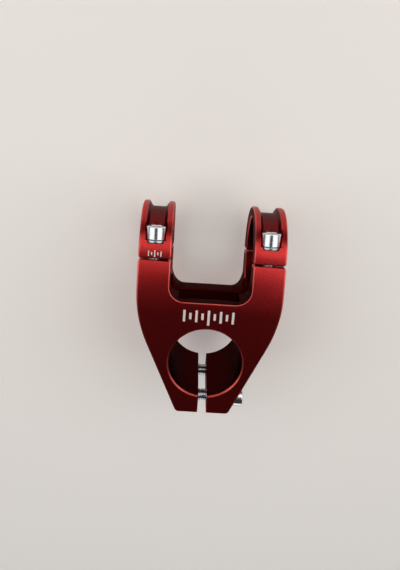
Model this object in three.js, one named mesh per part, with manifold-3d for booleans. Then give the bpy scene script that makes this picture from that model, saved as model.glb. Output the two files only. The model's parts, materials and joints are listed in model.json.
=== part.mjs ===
// Short-reach bicycle handlebar stem with two separate two-bolt handlebar caps.
// Millimetres. The origin is on the steerer axis, level with the lower face of the steerer clamp.
// +Z runs up the steerer, the handlebar axis runs along X, and the handlebar side faces -Y.
import * as THREE from "three";
import { mergeVertices } from "three/addons/utils/BufferGeometryUtils.js";
import Module from "manifold-3d";

// --- Driving dimensions -------------------------------------------------------------------------

// Steerer clamp
const steererBore = 28.6; // diameter of a 1 1/8 inch steerer
const steererClampHeight = 38.5; // lower face to upper face
const steererBoreChamfer = 0.5;
const rearWidth = 20.8; // across the rear face
const rearCornerRadius = 2;
const rearWall = 0.4; // behind the pinch screws' head pockets
const pinchSlot = 3.4; // width of the slot behind the bore
const pinchHoleWall = 0.1; // thinnest wall between the steerer bore and a pinch screw's hole
const spacerSeatWidth = 3.3; // flat lower face kept round the bore for a headset spacer
const stepRun = 2.8; // length, front to back, of the slope from the spacer seat to the underside
const stepRadius = 2.5;

// Handlebar clamp
const barBore = 31.8; // diameter of the handlebar's clamping zone
const barBoreChamfer = 0.4;
const reach = 36; // steerer axis to handlebar axis, square to the steerer
const barDrop = 7.25; // handlebar axis below the middle of the steerer clamp
const clampTilt = 10; // degrees that the handlebar clamp leans forward
const clampHoleWall = 0.7; // thinnest wall between the handlebar bore and a clamp screw's hole
const clampPocketWall = 0.3; // thinnest wall between the handlebar bore and a clamp screw's head pocket
const capWall = 4.1; // handlebar bore to the front of the caps' ribs
const capSquareness = 2.2; // exponent of the caps' outline: 2 is an ellipse
const splitGap = 1; // between the arms and the caps

// Arms and the opening between them
const overallWidth = 55.2;
const armSideWall = 1.925; // beside the clamp screws' head pockets
const openingWall = 10.9; // steerer bore to the wall of the opening, along the upper face
const openingCornerRadius = 5.6;
const flankCornerBack = 18.43; // handlebar axis back to where an arm's side and its taper would meet
const flankRadius = 55; // blends the arms' sides into the taper
const topLand = 5.7; // flat upper face ahead of the steerer bore, before the arms start to fall

// Lightening pocket in the wall of the opening
const pocketSideWall = 2.1; // opening's sides to the pocket's sides
const pocketRoof = 6.2; // wall's upper edge to the pocket's roof at its sides
const pocketRoofSag = 2.4; // how much lower the roof is in the middle
const pocketSill = 27; // wall's upper edge to the pocket's sill
const pocketCornerRadius = 3;
const pocketDepth = 10;
const boreWall = 2.6; // left round the steerer bore behind the pocket

// Caps
const capEdgeChamfer = 0.7;
const channelDepth = 2.2;
const channelFloorWidth = 5.4;
const channelTopWidth = 8;
const earThickness = 5.3; // split face to the washer seat

// Fasteners: M5 socket head screws with plain washers
const screwDiameter = 5;
const screwPitch = 0.8;
const headDiameter = 7.6;
const headHeight = 5;
const headEdge = 0.5;
const hexSocket = 4; // across flats
const hexDepth = 2.8;
const washerDiameter = 7.6;
const washerThickness = 1;
const clampScrewLength = 16;
const pinchScrewLength = 20;
const upperPinchBelowTop = 6.7;
const lowerPinchAboveBottom = 10.4;
const pinchSeat = 9.9; // middle plane to the pinch washers' seat

// Clearances
const touchGap = 0.15; // between faces that are pressed together
const threadGap = 0.3; // round a screw in its hole, on the radius
const pocketGap = 0.4; // round a head or a washer in its pocket, on the radius
const holeRunOut = 1.5; // depth of a screw hole past the screw's tip
const overcut = 1; // how far a cutter runs past the face that it opens

// --- Values worked out from them ----------------------------------------------------------------

const tilt = THREE.MathUtils.degToRad(clampTilt);
const screwHole = screwDiameter / 2 + threadGap;
const washerBore = screwDiameter + 2 * threadGap;
const headPocket = Math.max(headDiameter, washerDiameter) / 2 + pocketGap;
const capSeat = splitGap / 2 + earThickness;

// Steerer clamp: the pinch screws pass close behind the bore, and the rear face close behind their heads.
const steererRadius = steererBore / 2;
const pinchScrewBack = steererRadius + pinchHoleWall + screwHole;
const rearReach = pinchScrewBack + headPocket + rearWall;
const spacerSeatRadius = steererRadius + spacerSeatWidth;
const openingEdge = steererRadius + openingWall;
const topBlendStart = steererRadius + topLand;

// Handlebar clamp: the screws pass close outside the bore, and the ears end level with their heads.
const barRadius = barBore / 2;
const boreAtSeat = Math.sqrt(Math.max(barRadius ** 2 - capSeat ** 2, 0));
const boltCircle = Math.max(
  barRadius + clampHoleWall + screwHole,
  boreAtSeat + clampPocketWall + headPocket,
);
const earHeight = boltCircle + headDiameter / 2;
const frontRadius = barRadius + capWall;
const barHeight = steererClampHeight / 2 - barDrop;

// Arms: wide enough for the head pockets, and the opening is what they leave.
const armWidth = 2 * (headPocket + armSideWall);
const halfWidth = overallWidth / 2;
const halfOpening = halfWidth - armWidth;
const armMiddle = halfWidth - armWidth / 2;
const pocketHalf = halfOpening - pocketSideWall;

const farAway = 3 * Math.max(overallWidth, steererClampHeight, reach + rearReach); // clears the whole stem

// The handlebar clamp has its own frame: origin on the handlebar axis, -Y forward, Z along the split.
const clampFrame = new THREE.Matrix4()
  .makeTranslation(0, -reach, barHeight)
  .multiply(new THREE.Matrix4().makeRotationX(tilt));
const toClamp = clampFrame.clone().invert();
const openingTop = new THREE.Vector3(0, -openingEdge, steererClampHeight).applyMatrix4(toClamp);
const wallBehindBar = openingTop.y; // handlebar axis to the wall of the opening

const FINE = 72; // segments of the bores
const ROUND = 32; // segments of the fasteners

// --- Solids -------------------------------------------------------------------------------------

const wasm = await Module();
wasm.setup();

/** A closed three.js geometry as a solid that can be joined and cut. */
function solid(geometry, matrix) {
  const bare = geometry.clone();
  bare.deleteAttribute("normal");
  bare.deleteAttribute("uv");
  if (matrix) bare.applyMatrix4(matrix);
  const merged = mergeVertices(bare, 1e-4);
  return new wasm.Manifold(
    new wasm.Mesh({
      numProp: 3,
      vertProperties: merged.attributes.position.array,
      triVerts: new Uint32Array(merged.index.array),
    }),
  );
}

/** A solid back as a three.js geometry with flat faces. */
function geometryOf(body) {
  const { vertProperties, triVerts } = body.getMesh();
  const indexed = new THREE.BufferGeometry();
  indexed.setAttribute("position", new THREE.BufferAttribute(vertProperties, 3));
  indexed.setIndex(new THREE.BufferAttribute(triVerts, 1));
  const geometry = indexed.toNonIndexed();
  geometry.computeVertexNormals();
  return geometry;
}

function namedMesh(name, body, material) {
  const mesh = new THREE.Mesh(geometryOf(body), material);
  mesh.name = name;
  return mesh;
}

/** A cylinder or cone along Y from `from` to `to`, with a radius at each end. */
function roundBar(from, to, radiusFrom, radiusTo = radiusFrom, segments = ROUND) {
  const geometry = new THREE.CylinderGeometry(radiusTo, radiusFrom, to - from, segments);
  return geometry.translate(0, (from + to) / 2, 0);
}

const alongX = new THREE.Matrix4().makeRotationZ(-Math.PI / 2); // turns +Y to +X
const alongZ = new THREE.Matrix4().makeRotationX(Math.PI / 2); // turns +Y to +Z

function move(x, y, z) {
  return new THREE.Matrix4().makeTranslation(x, y, z);
}

/** An outline drawn in (Y, Z), extruded along X from -half to +half. */
function slab(shape, half, curveSegments = 24) {
  const geometry = new THREE.ExtrudeGeometry(shape, { depth: 2 * half, bevelEnabled: false, curveSegments });
  geometry.translate(0, 0, -half);
  // shape x -> Y, shape y -> Z, extrusion -> X
  const turn = new THREE.Matrix4().makeBasis(
    new THREE.Vector3(0, 1, 0),
    new THREE.Vector3(0, 0, 1),
    new THREE.Vector3(1, 0, 0),
  );
  return geometry.applyMatrix4(turn);
}

/** Adds a corner at (x, y) rounded with a radius, between the last point and the next corner. */
function roundedCorner(shape, x, y, nextX, nextY, radius) {
  const here = new THREE.Vector2(x, y);
  const back = shape.currentPoint.clone().sub(here);
  const ahead = new THREE.Vector2(nextX, nextY).sub(here);
  const half = Math.abs(Math.atan2(back.cross(ahead), back.dot(ahead))) / 2;
  const start = here.clone().addScaledVector(back.normalize(), radius / Math.tan(half));
  const end = here.clone().addScaledVector(ahead.normalize(), radius / Math.tan(half));
  const middle = back.add(ahead).normalize();
  const centre = here.clone().addScaledVector(middle, radius / Math.sin(half));
  shape.lineTo(start.x, start.y);
  const a0 = Math.atan2(start.y - centre.y, start.x - centre.x);
  const a1 = Math.atan2(end.y - centre.y, end.x - centre.x);
  const turnsLeft = Math.sin(a1 - a0) > 0;
  shape.absarc(centre.x, centre.y, radius, a0, a1, !turnsLeft);
}

/** A bore's cutter along Y with a chamfer cone at each listed face. */
function chamferedBore(radius, half, faces, chamfer) {
  let cutter = solid(roundBar(-half, half, radius, radius, FINE));
  for (const [place, side] of faces) {
    const deep = place - side * chamfer;
    const past = place + side * chamfer;
    const cone =
      side > 0
        ? roundBar(deep, past, radius, radius + 2 * chamfer, FINE)
        : roundBar(past, deep, radius + 2 * chamfer, radius, FINE);
    cutter = cutter.add(solid(cone));
  }
  return cutter;
}

// --- Stem body ----------------------------------------------------------------------------------

/** The outline seen from above: parallel arms, a large blend, straight tapers and a short rear face. */
function planOutline() {
  const rearHalf = rearWidth / 2;
  const cornerY = flankCornerBack - reach;
  const front = -farAway;
  const shape = new THREE.Shape();
  shape.moveTo(-halfWidth, front);
  shape.lineTo(halfWidth, front);
  roundedCorner(shape, halfWidth, cornerY, rearHalf, rearReach, flankRadius);
  roundedCorner(shape, rearHalf, rearReach, -rearHalf, rearReach, rearCornerRadius);
  roundedCorner(shape, -rearHalf, rearReach, -halfWidth, cornerY, rearCornerRadius);
  roundedCorner(shape, -halfWidth, cornerY, -halfWidth, front, flankRadius);
  shape.closePath();
  return shape;
}

/** The outline seen from the side: flat clamp faces, arms that fall to the split, a stepped underside. */
function sideOutline() {
  const clampPoint = (y, z) => new THREE.Vector3(0, y, z).applyMatrix4(clampFrame);
  const earTop = clampPoint(splitGap / 2, earHeight);
  const earBottom = clampPoint(splitGap / 2, -earHeight);
  // Upper side: an arc that leaves the flat at topBlendStart and ends on the ear.
  const run = -topBlendStart - earTop.y;
  const fall = steererClampHeight - earTop.z;
  const radius = (run * run + fall * fall) / (2 * fall);
  const centre = new THREE.Vector2(-topBlendStart, steererClampHeight - radius);
  const endAngle = Math.atan2(earTop.z - centre.y, earTop.y - centre.x);
  // Underside: back along the tilt from the ear, then up to the spacer seat.
  const stepY = -spacerSeatRadius - stepRun;
  const stepZ = earBottom.z + (stepY - earBottom.y) * Math.tan(tilt);
  const shape = new THREE.Shape();
  shape.moveTo(rearReach + overcut, 0);
  shape.lineTo(rearReach + overcut, steererClampHeight);
  shape.lineTo(-topBlendStart, steererClampHeight);
  shape.absarc(centre.x, centre.y, radius, Math.PI / 2, endAngle, false);
  shape.lineTo(earBottom.y, earBottom.z);
  roundedCorner(shape, stepY, stepZ, -spacerSeatRadius, 0, stepRadius);
  shape.lineTo(-spacerSeatRadius, 0);
  shape.closePath();
  return shape;
}

/** The opening between the arms, cut square to the tilted clamp, open to the front. */
function openingCutter() {
  const shape = new THREE.Shape();
  const front = -farAway;
  shape.moveTo(halfOpening, front);
  roundedCorner(shape, halfOpening, wallBehindBar, -halfOpening, wallBehindBar, openingCornerRadius);
  roundedCorner(shape, -halfOpening, wallBehindBar, -halfOpening, front, openingCornerRadius);
  shape.lineTo(-halfOpening, front);
  shape.closePath();
  const geometry = new THREE.ExtrudeGeometry(shape, { depth: 2 * farAway, bevelEnabled: false, curveSegments: 8 });
  return solid(geometry.translate(0, 0, -farAway), clampFrame);
}

/** The lightening pocket, cut square to the opening's wall and kept clear of the steerer bore. */
function pocketCutter() {
  const roof = openingTop.z - pocketRoof;
  const sill = openingTop.z - pocketSill;
  const shape = new THREE.Shape();
  shape.moveTo(0, sill);
  roundedCorner(shape, pocketHalf, sill, pocketHalf, roof, pocketCornerRadius);
  roundedCorner(shape, pocketHalf, roof, 0, roof, pocketCornerRadius);
  shape.quadraticCurveTo(0, roof - 2 * pocketRoofSag, pocketCornerRadius - pocketHalf, roof);
  roundedCorner(shape, -pocketHalf, roof, -pocketHalf, sill, pocketCornerRadius);
  roundedCorner(shape, -pocketHalf, sill, 0, sill, pocketCornerRadius);
  shape.closePath();
  const length = pocketDepth + overcut;
  const geometry = new THREE.ExtrudeGeometry(shape, { depth: length, bevelEnabled: false, curveSegments: 8 });
  // shape x -> X, shape y -> Z, extrusion -> -Y
  geometry.applyMatrix4(new THREE.Matrix4().makeRotationX(Math.PI / 2));
  geometry.translate(0, wallBehindBar + pocketDepth, 0);
  const guard = solid(roundBar(-farAway, farAway, steererRadius + boreWall, undefined, FINE), alongZ);
  return solid(geometry, clampFrame).subtract(guard);
}

function stemBody() {
  const plan = new THREE.ExtrudeGeometry(planOutline(), {
    depth: 2 * farAway,
    bevelEnabled: false,
    curveSegments: 12,
  });
  let body = solid(plan.translate(0, 0, -farAway)).intersect(solid(slab(sideOutline(), farAway)));
  body = body.subtract(openingCutter()).subtract(pocketCutter());

  const steererFaces = [
    [0, -1],
    [steererClampHeight, 1],
  ];
  const steerer = chamferedBore(steererRadius, farAway, steererFaces, steererBoreChamfer);
  body = body.subtract(steerer.transform(alongZ.elements));
  const slot = new THREE.BoxGeometry(pinchSlot, rearReach + overcut, 2 * farAway);
  body = body.subtract(solid(slot.translate(0, (rearReach + overcut) / 2, 0)));

  const armFaces = [
    [halfWidth, 1],
    [halfOpening, -1],
    [-halfOpening, 1],
    [-halfWidth, -1],
  ];
  const bar = chamferedBore(barRadius, farAway, armFaces, barBoreChamfer);
  body = body.subtract(bar.transform(clampFrame.clone().multiply(alongX).elements));

  const tip = capSeat + washerThickness + 2 * touchGap - clampScrewLength;
  for (const side of [1, -1]) {
    for (const level of [1, -1]) {
      const hole = roundBar(-barBore, -tip + holeRunOut, screwHole);
      const place = clampFrame.clone().multiply(move(side * armMiddle, 0, level * boltCircle));
      body = body.subtract(solid(hole, place));
    }
  }

  for (const height of pinchHeights()) {
    const place = move(0, pinchScrewBack, height).multiply(alongX);
    body = body.subtract(solid(roundBar(-farAway, farAway, screwHole), place));
    body = body.subtract(solid(roundBar(-farAway, -pinchSeat, headPocket), place));
  }
  return body;
}

function pinchHeights() {
  return [steererClampHeight - upperPinchBelowTop, lowerPinchAboveBottom];
}

// --- Handlebar caps -----------------------------------------------------------------------------

/** The caps' outside in the clamp frame as (forward, up), from the upper ear round the front. */
function capCurve(inset) {
  const count = 48;
  const points = [];
  for (let i = 0; i <= count; i++) {
    const angle = (Math.PI / 2) * (1 - (2 * i) / count);
    const forward = (frontRadius - inset) * Math.abs(Math.cos(angle)) ** (2 / capSquareness);
    const up = (earHeight - inset) * Math.sign(Math.sin(angle)) * Math.abs(Math.sin(angle)) ** (2 / capSquareness);
    points.push(new THREE.Vector2(-forward, up));
  }
  return points;
}

/** One cap about the clamp frame's middle plane: the outline less the bore, channel and screw seats. */
function capBody() {
  const face = -splitGap / 2 - capEdgeChamfer;
  const outside = capCurve(capEdgeChamfer).filter((p) => p.x < face);
  const shape = new THREE.Shape();
  shape.moveTo(face, outside[0].y);
  for (const p of outside) shape.lineTo(p.x, p.y);
  shape.lineTo(face, outside[outside.length - 1].y);
  shape.closePath();
  const inner = armWidth / 2 - capEdgeChamfer;
  const block = new THREE.ExtrudeGeometry(shape, {
    depth: 2 * inner,
    bevelEnabled: true,
    bevelThickness: capEdgeChamfer,
    bevelSize: capEdgeChamfer,
    bevelSegments: 2,
    curveSegments: 1,
  });
  const turn = new THREE.Matrix4().makeBasis(
    new THREE.Vector3(0, 1, 0),
    new THREE.Vector3(0, 0, 1),
    new THREE.Vector3(1, 0, 0),
  );
  let body = solid(block.translate(0, 0, -inner), turn);

  const faces = [
    [armWidth / 2, 1],
    [-armWidth / 2, -1],
  ];
  const bore = chamferedBore(barRadius, farAway, faces, barBoreChamfer);
  body = body.subtract(bore.transform(alongX.elements));

  // The channel's cutter is a plate whose hole shrinks in the middle of its thickness, which slopes its sides.
  const plate = new THREE.Shape();
  plate.absarc(0, 0, 3 * earHeight, 0, 2 * Math.PI, false);
  const hole = new THREE.Path(capCurve(0));
  hole.lineTo(earHeight, -earHeight);
  hole.lineTo(earHeight, earHeight);
  hole.closePath();
  plate.holes.push(hole);
  const slope = (channelTopWidth - channelFloorWidth) / 2;
  const channel = new THREE.ExtrudeGeometry(plate, {
    depth: channelFloorWidth,
    bevelEnabled: true,
    bevelThickness: slope,
    bevelSize: channelDepth,
    bevelSegments: 1,
    curveSegments: 8,
  });
  const channelStart = capSeat + washerThickness + touchGap;
  const keepEars = new THREE.BoxGeometry(2 * armWidth, farAway, 2 * farAway);
  keepEars.translate(0, farAway / 2 - channelStart, 0);
  const groove = solid(channel.translate(0, 0, -channelFloorWidth / 2), turn).subtract(solid(keepEars));
  body = body.subtract(groove);

  for (const level of [1, -1]) {
    const place = move(0, 0, level * boltCircle);
    body = body.subtract(solid(roundBar(-farAway, -capSeat, headPocket), place));
    body = body.subtract(solid(roundBar(-farAway, barBore, screwHole), place));
  }
  return body;
}

// --- Fasteners ----------------------------------------------------------------------------------

/** A socket head screw along Y: the shank runs to +Y from the head's bearing face at 0. */
function screwBody(length) {
  const radius = headDiameter / 2;
  const crown = roundBar(-headHeight, headEdge - headHeight, radius - headEdge, radius);
  let body = solid(roundBar(headEdge - headHeight, 0, radius)).add(solid(crown));
  const point = screwPitch;
  body = body.add(solid(roundBar(-headHeight / 4, length - point, screwDiameter / 2)));
  body = body.add(solid(roundBar(length - point, length, screwDiameter / 2, screwDiameter / 2 - point / 2)));
  const corner = hexSocket / Math.sqrt(3);
  const socket = roundBar(-headHeight - overcut, hexDepth - headHeight, corner, corner, 6);
  return body.subtract(solid(socket));
}

function washerBody() {
  const disc = solid(roundBar(0, washerThickness, washerDiameter / 2));
  return disc.subtract(solid(roundBar(-overcut, washerThickness + overcut, washerBore / 2)));
}

// --- Materials and assembly ---------------------------------------------------------------------

const anodised = new THREE.MeshStandardMaterial({ color: "#8f1a1c", roughness: 0.42, metalness: 0.9 });
const polished = new THREE.MeshStandardMaterial({ color: "#c9ccd0", roughness: 0.18, metalness: 1 });
const plated = new THREE.MeshStandardMaterial({ color: "#b9bcc0", roughness: 0.3, metalness: 1 });

const stem = new THREE.Group();
stem.add(namedMesh("stem_body", stemBody(), anodised));

const front = new THREE.Group();
front.applyMatrix4(clampFrame);
stem.add(front);
for (const [side, place] of [
  ["left", armMiddle],
  ["right", -armMiddle],
]) {
  const cap = namedMesh(`${side}_handlebar_cap`, capBody(), anodised);
  cap.position.set(place, 0, 0);
  front.add(cap);
  for (const [levelName, level] of [
    ["upper", 1],
    ["lower", -1],
  ]) {
    const washerFace = -capSeat - touchGap;
    const washer = namedMesh(`${side}_${levelName}_clamp_washer`, washerBody(), plated);
    washer.position.set(place, washerFace - washerThickness, level * boltCircle);
    const screw = namedMesh(`${side}_${levelName}_clamp_bolt`, screwBody(clampScrewLength), polished);
    screw.position.set(place, washerFace - washerThickness - touchGap, level * boltCircle);
    front.add(washer, screw);
  }
}

for (const [levelName, height] of [
  ["upper", pinchHeights()[0]],
  ["lower", pinchHeights()[1]],
]) {
  const group = new THREE.Group();
  group.position.set(-pinchSeat - touchGap, pinchScrewBack, height);
  group.rotation.z = -Math.PI / 2; // the fasteners' +Y turns to +X
  const washer = namedMesh(`${levelName}_pinch_washer`, washerBody(), plated);
  washer.position.y = -washerThickness;
  const screw = namedMesh(`${levelName}_pinch_bolt`, screwBody(pinchScrewLength), polished);
  screw.position.y = -washerThickness - touchGap;
  group.add(washer, screw);
  stem.add(group);
}

export default stem;
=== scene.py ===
# %% [markdown]
# # A short bicycle handlebar stem with two separate handlebar caps
#
# The frame loaded below holds the working model: its solids, its joints and its sizes, in metres.
# Everything here is looks. Each visible piece is made again as a fine surface in millimetres, put
# into the same place, and told which moving body it rides on.

# %% Load the frame and keep its box
import json
import math

import bpy
import numpy as np
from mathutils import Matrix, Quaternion, Vector


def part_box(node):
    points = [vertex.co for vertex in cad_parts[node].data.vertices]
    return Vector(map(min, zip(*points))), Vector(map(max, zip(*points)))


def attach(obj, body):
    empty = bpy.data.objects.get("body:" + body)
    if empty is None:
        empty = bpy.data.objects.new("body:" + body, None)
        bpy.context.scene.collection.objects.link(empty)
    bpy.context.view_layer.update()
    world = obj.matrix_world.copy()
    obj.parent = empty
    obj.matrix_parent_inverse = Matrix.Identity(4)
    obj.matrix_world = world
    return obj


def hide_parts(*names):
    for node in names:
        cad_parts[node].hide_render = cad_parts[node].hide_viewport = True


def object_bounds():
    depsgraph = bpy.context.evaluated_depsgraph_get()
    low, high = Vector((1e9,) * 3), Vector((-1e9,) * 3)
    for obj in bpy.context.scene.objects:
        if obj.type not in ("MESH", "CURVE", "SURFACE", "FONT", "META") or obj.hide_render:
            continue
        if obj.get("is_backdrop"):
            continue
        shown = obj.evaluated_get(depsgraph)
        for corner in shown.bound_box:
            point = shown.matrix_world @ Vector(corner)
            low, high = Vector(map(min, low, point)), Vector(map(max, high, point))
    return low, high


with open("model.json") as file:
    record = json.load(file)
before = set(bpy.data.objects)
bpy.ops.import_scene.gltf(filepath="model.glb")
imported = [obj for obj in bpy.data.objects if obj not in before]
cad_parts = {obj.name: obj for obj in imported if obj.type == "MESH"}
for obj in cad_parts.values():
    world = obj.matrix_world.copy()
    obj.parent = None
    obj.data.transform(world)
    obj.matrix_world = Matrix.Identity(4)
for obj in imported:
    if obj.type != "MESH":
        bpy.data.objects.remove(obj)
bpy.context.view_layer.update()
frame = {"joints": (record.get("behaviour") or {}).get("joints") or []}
MM = 0.001

# %% [markdown]
# ## Sizes
#
# The places come from the frame: the body's own box gives the steerer clamp, and the joints of the
# clamp screws give the handlebar's axis, its lean and the circle the screws stand on. What the
# frame does not state, such as a chamfer or a groove, is named here once in millimetres.

# %% Places read from the frame
body_low, body_high = (np.array(corner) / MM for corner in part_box("stem_body"))
joints = {joint["name"]: joint for joint in frame["joints"]}
upper_screw = np.array(joints["left_upper_screw_turn"]["pos_m"]) / MM
lower_screw = np.array(joints["left_lower_screw_turn"]["pos_m"]) / MM
upper_pinch = np.array(joints["upper_pinch_screw_turn"]["pos_m"]) / MM
lower_pinch = np.array(joints["lower_pinch_screw_turn"]["pos_m"]) / MM

HALF_WIDTH = body_high[0]
REAR = body_high[1]
TOP = body_high[2]
bar_axis = (upper_screw + lower_screw) / 2 * [0, 1, 1]
up_split = (upper_screw - lower_screw) / np.linalg.norm(upper_screw - lower_screw)
BOLT_CIRCLE = np.linalg.norm(upper_screw - lower_screw) / 2
TILT = math.atan2(-up_split[1], up_split[2])
ARM_MIDDLE = upper_screw[0]
ARM_HALF = HALF_WIDTH - ARM_MIDDLE
HALF_OPENING = ARM_MIDDLE - ARM_HALF
print(f"bar axis y {bar_axis[1]:.2f} z {bar_axis[2]:.2f}, lean {math.degrees(TILT):.1f} degrees")
print(f"arms {2 * ARM_HALF:.2f} wide, opening {2 * HALF_OPENING:.2f} wide")

# %% Sizes in millimetres
STEERER = 28.6 / 2  # the two bores' radii
BAR = 31.8 / 2
BORE_CHAMFER = 0.55
SLOT = 3.4 / 2  # half the slot's width
SLOT_CHAMFER = 0.3
REAR_HALF = 20.8 / 2  # half the rear face's width
REAR_CORNER = 2.0
FLANK_BLEND = 55.0  # radius between the straight arms and the tapers
FLANK_CORNER = bar_axis[1] + 18.43  # where the arms' and the tapers' lines would meet
SPLIT = 0.3  # half the gap between the arms and the caps
SPLIT_CORNER = 1.0
EAR_ABOVE_SCREW = 3.8
EAR_HEIGHT = BOLT_CIRCLE + EAR_ABOVE_SCREW
OPENING_EDGE = STEERER + 10.9  # from the steerer's axis to the opening, on the upper face
OPENING_CORNER = 5.6
TOP_FLAT = STEERER + 5.7  # from the steerer's axis to where the upper face starts to fall
SEAT_RING = STEERER + 3.3  # from the steerer's axis to the end of the spacer's seat
STEP_RUN = 2.8
STEP_RADIUS = 2.5
EDGE = 0.6  # widths of the broken edges, all round and at the split
SPLIT_EDGE = 0.3
FAR = 150.0  # well past the stem
LEAD = 5.0  # how far ahead of the split a screw hole's tool starts
HAIR = 0.001  # keeps a tool's side off a face that it would lie in

POCKET_HALF = HALF_OPENING - 2.1
POCKET_ROOF = 6.2  # roof and sill, down the wall from the upper face
POCKET_SILL = 27.0
POCKET_SAG = 2.4
POCKET_CORNER = 3.0
POCKET_CHAMFER = 0.4
POCKET_DEPTH = 10.0
BORE_WALL = 2.6  # metal left between the pocket and the steerer bore

CAP_FRONT = BAR + 4.1
CAP_SQUARENESS = 2.2
CAP_EDGE = 0.55
CHANNEL_DEPTH = 2.2
CHANNEL_FLOOR = 5.4 / 2
CHANNEL_TOP = 8.0 / 2
CHANNEL_LIP = 0.7
EAR_SEAT = 5.8  # from the middle of the split to the washers

SHANK = 2.5  # shank, head, socket and washer are half widths
PITCH = 0.8
HEAD = 7.6 / 2
HEAD_HEIGHT = 5.0
HEX = 4.0 / 2
HEX_DEPTH = 2.8
WASHER = 7.6 / 2
WASHER_BORE = 5.6 / 2
WASHER_THICK = 1.0
TOUCH = 0.15  # air left where two pieces would touch
CLAMP_SCREW = 16.0  # lengths under the head
PINCH_SCREW = 20.0
PAST_TIP = 1.5  # how far a blind hole goes on past its screw
PINCH_SEAT = 9.9  # from the middle of the stem to the pinch washers
SCREW_HOLE = SHANK + 0.3
HEAD_POCKET = HEAD + 0.4

# %% [markdown]
# ## Helpers for surfaces
#
# Almost every shape below is a closed outline carried along a path: a stack of rings, joined ring
# to ring, with the first and the last ring filled. One function turns such a stack into a mesh, so
# that each shape only has to say where its rings lie.


# %% Rings to a mesh
def read(items, what, width=1, kind=float):
    """One value of every vertex, edge, face or corner of a mesh, as an array `width` wide."""
    values = np.empty(len(items) * width, dtype=kind)
    items.foreach_get(what, values)
    return values.reshape(-1, width) if width > 1 else values


def loft(name, rings, closed=False):
    """A closed surface from rings of points, shaped (rings, points, 3): neighbouring rings are
    joined by four-sided faces. The two end rings are filled, or joined to each other when the
    path is closed. Millimetres in, metres out."""
    rings = np.asarray(rings, float)
    count, around = rings.shape[:2]
    ring, step = np.meshgrid(np.arange(count - 1 + closed), np.arange(around), indexing="ij")
    after, above = (step + 1) % around, (ring + 1) % count
    corners = (ring * around + step, ring * around + after,
               above * around + after, above * around + step)
    faces = np.stack(corners, -1).reshape(-1, 4).tolist()
    if not closed:
        faces.append(list(range(around))[::-1])
        faces.append(list(range((count - 1) * around, count * around)))
    mesh = bpy.data.meshes.new(name)
    mesh.from_pydata((rings.reshape(-1, 3) * MM).tolist(), [], faces)
    mesh.validate()
    piece = bpy.data.objects.new(name, mesh)
    bpy.context.scene.collection.objects.link(piece)
    if signed_volume(mesh) < 0:
        mesh.flip_normals()
    return piece


def signed_volume(mesh):
    """The volume inside a closed mesh: the sum over its triangles of a . (b x c), over six. It is
    negative when the faces look inwards."""
    mesh.calc_loop_triangles()
    corners = read(mesh.loop_triangles, "vertices", 3, int)
    a, b, c = read(mesh.vertices, "co", 3)[corners].transpose(1, 0, 2)
    return float(np.einsum("ij,ij->i", a, np.cross(b, c)).sum() / 6)


def carve(piece, tool, how="DIFFERENCE"):
    """Cuts, joins or intersects a piece with a tool, keeps the result and drops the tool."""
    cut = piece.modifiers.new("cut", "BOOLEAN")
    cut.operation = how
    cut.solver = "MANIFOLD"
    cut.object = tool
    finish_mesh(piece)
    bpy.data.objects.remove(tool)


def finish_mesh(piece):
    """Replaces a piece's mesh by what its modifiers make of it, and clears them."""
    graph = bpy.context.evaluated_depsgraph_get()
    made = bpy.data.meshes.new_from_object(piece.evaluated_get(graph))
    old = piece.data
    piece.modifiers.clear()
    piece.data = made
    made.name = piece.name
    bpy.data.meshes.remove(old)


# %% Outlines
def outline(corners, radii, step=6.0):
    """A closed outline through corners, each rounded by its radius. The arc at a corner touches
    both sides at radius / tan(half the corner's angle), and is drawn every `step` degrees."""
    corners = np.asarray(corners, float)
    pieces = []
    for here, before, after, radius in zip(
        corners, np.roll(corners, 1, 0), np.roll(corners, -1, 0), radii
    ):
        if radius == 0:
            pieces.append(here[None])
            continue
        back = (before - here) / np.linalg.norm(before - here)
        ahead = (after - here) / np.linalg.norm(after - here)
        half = math.acos(np.clip(back @ ahead, -1, 1)) / 2
        middle = (back + ahead) / np.linalg.norm(back + ahead)
        centre = here + middle * radius / math.sin(half)
        first = here + back * radius / math.tan(half) - centre
        last = here + ahead * radius / math.tan(half) - centre
        turn = math.atan2(first[0] * last[1] - first[1] * last[0], first @ last)
        angle = np.linspace(0, turn, 2 + int(abs(math.degrees(turn)) / step))
        across = np.array([-first[1], first[0]])
        pieces.append(centre + np.cos(angle)[:, None] * first + np.sin(angle)[:, None] * across)
    return np.concatenate(pieces)


def grow(points, amount):
    """An anticlockwise outline moved outwards by an amount, each point along the mean normal of
    its two sides, lengthened so that the sides themselves move by the amount."""
    before = points - np.roll(points, 1, 0)
    after = np.roll(points, -1, 0) - points
    normals = [side[:, ::-1] * [1, -1] / np.linalg.norm(side, axis=1)[:, None]
               for side in (before, after)]
    mean = normals[0] + normals[1]
    mean /= np.linalg.norm(mean, axis=1)[:, None]
    return points + amount * mean / np.einsum("ij,ij->i", mean, normals[0])[:, None]


def circle(count):
    """Points of a circle of radius 1, anticlockwise."""
    angle = np.linspace(0, 2 * np.pi, count, endpoint=False)
    return np.stack([np.cos(angle), np.sin(angle)], -1)


# %% Frames that shapes are drawn in
def clamp_point(x, back, up):
    """A point of the handlebar clamp's own frame: x as it is, `back` from the handlebar's axis
    towards the steerer, `up` along the split, both leaning by TILT."""
    x, back, up = np.broadcast_arrays(np.asarray(x, float), back, up)
    y = bar_axis[1] + back * math.cos(TILT) - up * math.sin(TILT)
    z = bar_axis[2] + back * math.sin(TILT) + up * math.cos(TILT)
    return np.stack([x, y, z], -1)


def upright(points, heights):
    """Rings of an (x, y) outline at heights z."""
    return [np.column_stack([points, np.full(len(points), z)]) for z in heights]


def crosswise(points, places):
    """Rings of a (y, z) outline at places x."""
    return [np.column_stack([np.full(len(points), x), points]) for x in places]


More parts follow.
